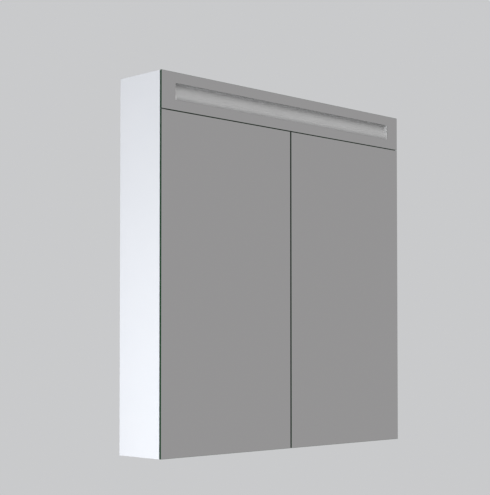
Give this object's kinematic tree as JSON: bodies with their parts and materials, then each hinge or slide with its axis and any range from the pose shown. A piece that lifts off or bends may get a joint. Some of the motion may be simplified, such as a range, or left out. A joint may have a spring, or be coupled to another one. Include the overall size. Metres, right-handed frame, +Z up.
{
  "type": "medicine cabinet",
  "caption": "Shallow wall-hung bathroom cabinet with mirror doors, a mirror strip with a recessed light window above them, glass shelves inside and concealed door hinges.",
  "frame": {"origin": "centre of the cabinet's rear face, which lies flat on the wall", "axes": "+X to the right as the mirrors are faced, +Y out of the cabinet's back into the wall, so the mirrors face -Y, +Z up"},
  "size_m": [0.7, 0.12, 0.72],
  "materials": {
    "white_lacquer": "satin",
    "mirror_glass": "gloss",
    "shelf_glass": "gloss",
    "opal_acrylic": "satin",
    "nickel_steel": "satin",
    "zinc_steel": "matte",
    "aluminium": "satin",
    "lamp_glass": "satin",
    "white_plastic": "satin",
    "ballast_case": "satin",
    "rubber": "matte"
  },
  "bodies": {
    "cabinet": {"side_panel_left": "white_lacquer", "side_panel_right": "white_lacquer", "top_panel": "white_lacquer", "bottom_panel": "white_lacquer", "light_floor_panel": "white_lacquer", "back_panel": "white_lacquer", "hanger_plate_left": "zinc_steel", "hanger_plate_right": "zinc_steel", "cable_grommet": "rubber", "glass_shelf_lower": "shelf_glass", "glass_shelf_upper": "shelf_glass", "shelf_pin_lower_left_front": "nickel_steel", "shelf_pin_lower_left_rear": "nickel_steel", "shelf_pin_lower_right_front": "nickel_steel", "shelf_pin_lower_right_rear": "nickel_steel", "shelf_pin_upper_left_front": "nickel_steel", "shelf_pin_upper_left_rear": "nickel_steel", "shelf_pin_upper_right_front": "nickel_steel", "shelf_pin_upper_right_rear": "nickel_steel", "door_buffer_left": "rubber", "door_buffer_right": "rubber", "hinge_plate_left_upper": "nickel_steel", "hinge_plate_left_lower": "nickel_steel", "hinge_plate_right_upper": "nickel_steel", "hinge_plate_right_lower": "nickel_steel", "hinge_arm_left_upper": "nickel_steel", "hinge_arm_left_lower": "nickel_steel", "hinge_arm_right_upper": "nickel_steel", "hinge_arm_right_lower": "nickel_steel", "light_strip_mirror": "mirror_glass", "light_strip_carrier": "aluminium", "light_window_lens": "opal_acrylic", "lamp_tube": "lamp_glass", "lamp_cap_left": "aluminium", "lamp_cap_right": "aluminium", "lamp_holder_left": "white_plastic", "lamp_holder_right": "white_plastic", "lamp_reflector": "aluminium", "lamp_ballast": "ballast_case", "switch_socket_housing": "white_plastic", "socket_insert": "white_plastic"},
    "left_door": {"door_mirror_front_left": "mirror_glass", "door_mirror_rear_left": "mirror_glass", "hinge_boss_left_upper": "nickel_steel", "hinge_boss_left_lower": "nickel_steel"},
    "left_cranks": {"hinge_crank_left_upper": "nickel_steel", "hinge_crank_left_lower": "nickel_steel"},
    "left_couplers": {"hinge_coupler_left_upper": "nickel_steel", "hinge_coupler_left_lower": "nickel_steel"},
    "right_door": {"door_mirror_front_right": "mirror_glass", "door_mirror_rear_right": "mirror_glass", "hinge_boss_right_upper": "nickel_steel", "hinge_boss_right_lower": "nickel_steel"},
    "right_cranks": {"hinge_crank_right_upper": "nickel_steel", "hinge_crank_right_lower": "nickel_steel"},
    "right_couplers": {"hinge_coupler_right_upper": "nickel_steel", "hinge_coupler_right_lower": "nickel_steel"},
    "rocker": {"switch_rocker": "white_plastic"}
  },
  "joints": [
    {"name": "left_door_swing", "type": "hinge", "parent": "cabinet", "child": "left_door", "pos_m": [-0.35, -0.119, 0], "axis": [0, 0, -1], "range_deg": [0, 110]},
    {"name": "left_crank_swing", "type": "hinge", "parent": "cabinet", "child": "left_cranks", "pos_m": [-0.32, -0.085, 0], "axis": [0, 0, -1], "range_deg": [0, 110]},
    {"name": "left_coupler_swing", "type": "hinge", "parent": "left_cranks", "child": "left_couplers", "pos_m": [-0.296, -0.072, 0], "axis": [0, 0, -1], "range_deg": [-110, 0]},
    {"name": "right_door_swing", "type": "hinge", "parent": "cabinet", "child": "right_door", "pos_m": [0.35, -0.119, 0], "axis": [0, 0, 1], "range_deg": [0, 110]},
    {"name": "right_crank_swing", "type": "hinge", "parent": "cabinet", "child": "right_cranks", "pos_m": [0.32, -0.085, 0], "axis": [0, 0, 1], "range_deg": [0, 110]},
    {"name": "right_coupler_swing", "type": "hinge", "parent": "right_cranks", "child": "right_couplers", "pos_m": [0.296, -0.072, 0], "axis": [0, 0, 1], "range_deg": [-110, 0]},
    {"name": "switch_tilt", "type": "hinge", "parent": "cabinet", "child": "rocker", "pos_m": [0.309, -0.081, 0.238], "axis": [0, 1, 0], "range_deg": [0, 12]}
  ],
  "couplings": [
    {"joint": "left_crank_swing", "follows": "left_door_swing", "ratio": 1},
    {"joint": "left_coupler_swing", "follows": "left_door_swing", "ratio": -1},
    {"joint": "right_crank_swing", "follows": "right_door_swing", "ratio": 1},
    {"joint": "right_coupler_swing", "follows": "right_door_swing", "ratio": -1}
  ]
}
